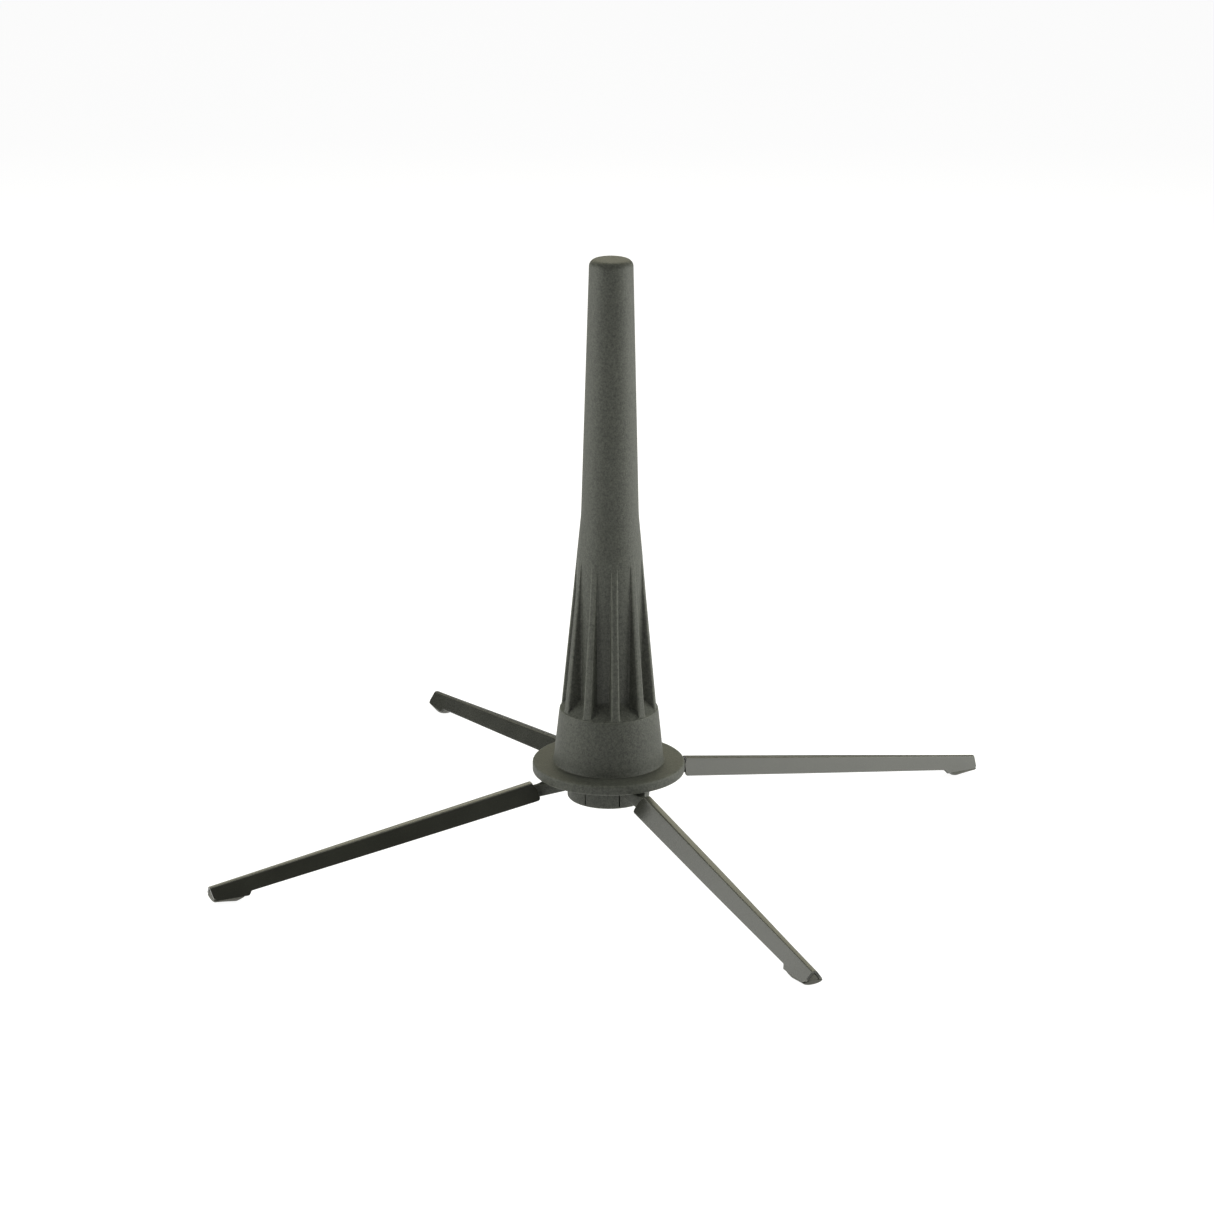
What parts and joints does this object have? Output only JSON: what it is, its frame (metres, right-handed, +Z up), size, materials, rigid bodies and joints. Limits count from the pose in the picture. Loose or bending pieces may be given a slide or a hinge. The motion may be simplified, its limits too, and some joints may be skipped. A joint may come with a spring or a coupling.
{
  "type": "trumpet stand",
  "caption": "In-bell instrument stand: a fluted tapered peg on a round flange and slotted hub, held up by folding channel-section legs with padded feet.",
  "frame": {"origin": "on the floor, on the axis of the peg, midway between the feet", "axes": "+Z up along the peg; the legs lie along +X, +Y, -X and -Y"},
  "size_m": [0.274, 0.274, 0.19],
  "materials": {
    "moulded_plastic": "matt charcoal grey moulded plastic with a fine speckled grain",
    "painted_steel": "satin charcoal powder coat on folded sheet steel, worn brighter at the cut edges",
    "pad_plastic": "matt dark olive-grey soft plastic",
    "zinc_steel": "plain zinc-plated steel, fine turned marks",
    "brass": "plain turned brass"
  },
  "bodies": {
    "stand": {"peg": "moulded_plastic", "flange_disc": "moulded_plastic", "hub_drum": "moulded_plastic", "centre_screw": "zinc_steel", "screw_washer": "zinc_steel", "threaded_insert": "brass", "arm_right": "moulded_plastic", "arm_back": "moulded_plastic", "arm_left": "moulded_plastic", "arm_front": "moulded_plastic", "hinge_pin_right": "zinc_steel", "hinge_pin_back": "zinc_steel", "hinge_pin_left": "zinc_steel", "hinge_pin_front": "zinc_steel"},
    "folding_leg_right": {"leg_right": "painted_steel", "foot_pad_right": "pad_plastic"},
    "folding_leg_back": {"leg_back": "painted_steel", "foot_pad_back": "pad_plastic"},
    "folding_leg_left": {"leg_left": "painted_steel", "foot_pad_left": "pad_plastic"},
    "folding_leg_front": {"leg_front": "painted_steel", "foot_pad_front": "pad_plastic"}
  },
  "joints": [
    {"name": "fold_right", "type": "hinge", "parent": "stand", "child": "folding_leg_right", "pos_m": [0.031, 0, 0.0193], "axis": [0, 1, 0], "range_deg": [0, 81]},
    {"name": "fold_back", "type": "hinge", "parent": "stand", "child": "folding_leg_back", "pos_m": [0, 0.031, 0.0193], "axis": [-1, 0, 0], "range_deg": [0, 81]},
    {"name": "fold_left", "type": "hinge", "parent": "stand", "child": "folding_leg_left", "pos_m": [-0.031, 0, 0.0193], "axis": [0, -1, 0], "range_deg": [0, 81]},
    {"name": "fold_front", "type": "hinge", "parent": "stand", "child": "folding_leg_front", "pos_m": [0, -0.031, 0.0193], "axis": [1, 0, 0], "range_deg": [0, 81]}
  ]
}
